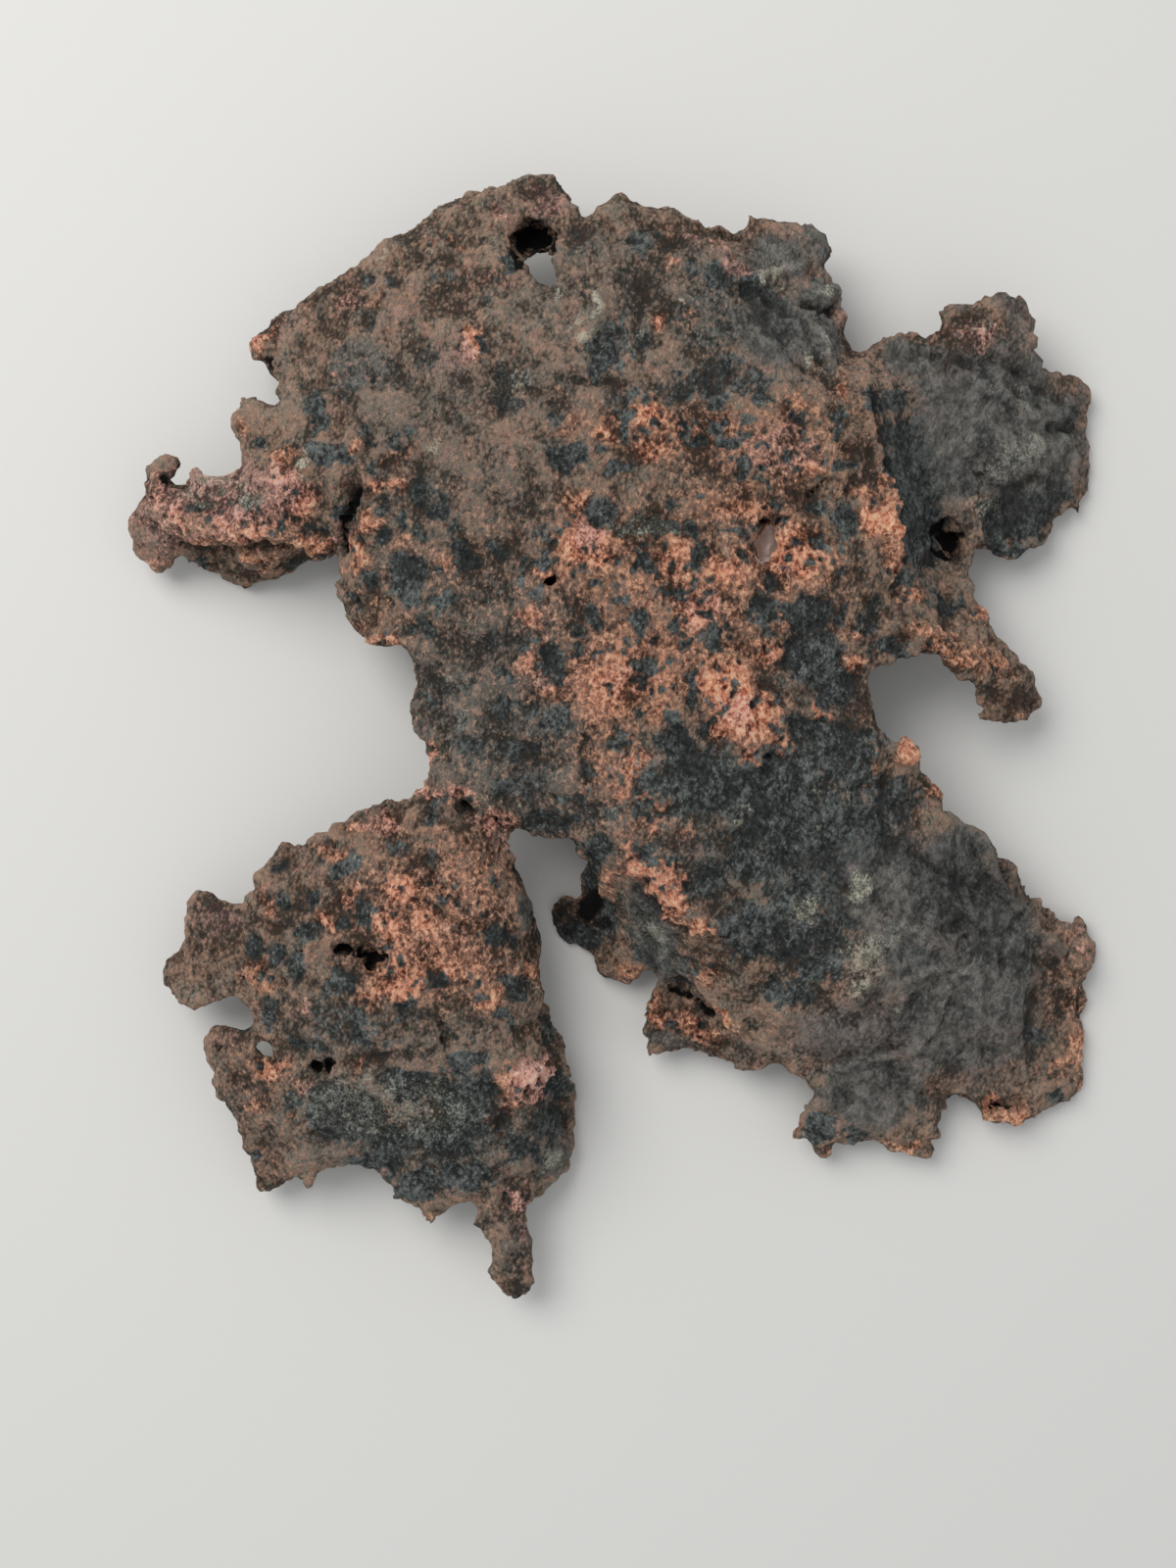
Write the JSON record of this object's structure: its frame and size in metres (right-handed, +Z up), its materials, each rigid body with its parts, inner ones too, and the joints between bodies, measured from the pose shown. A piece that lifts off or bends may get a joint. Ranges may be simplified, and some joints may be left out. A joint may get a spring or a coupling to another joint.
{
  "type": "native copper nugget",
  "caption": "Thin, arched and lobed sheet of weathered native copper with ragged rims, pits, a holed horn and low flaps, lying on its lobes.",
  "frame": {"origin": "middle of the footprint's bounding box, at the level of the ground it rests on", "axes": "+Z up from the ground, +Y towards the horn and the crest of the sheet, +X towards the right lobe"},
  "size_m": [0.1732, 0.199, 0.0305],
  "materials": {
    "native_copper": "weathered native copper: bright worn copper over dark slate oxide, matt to satin"
  },
  "bodies": {
    "root": {"copper_nugget": "native_copper"}
  },
  "joints": []
}
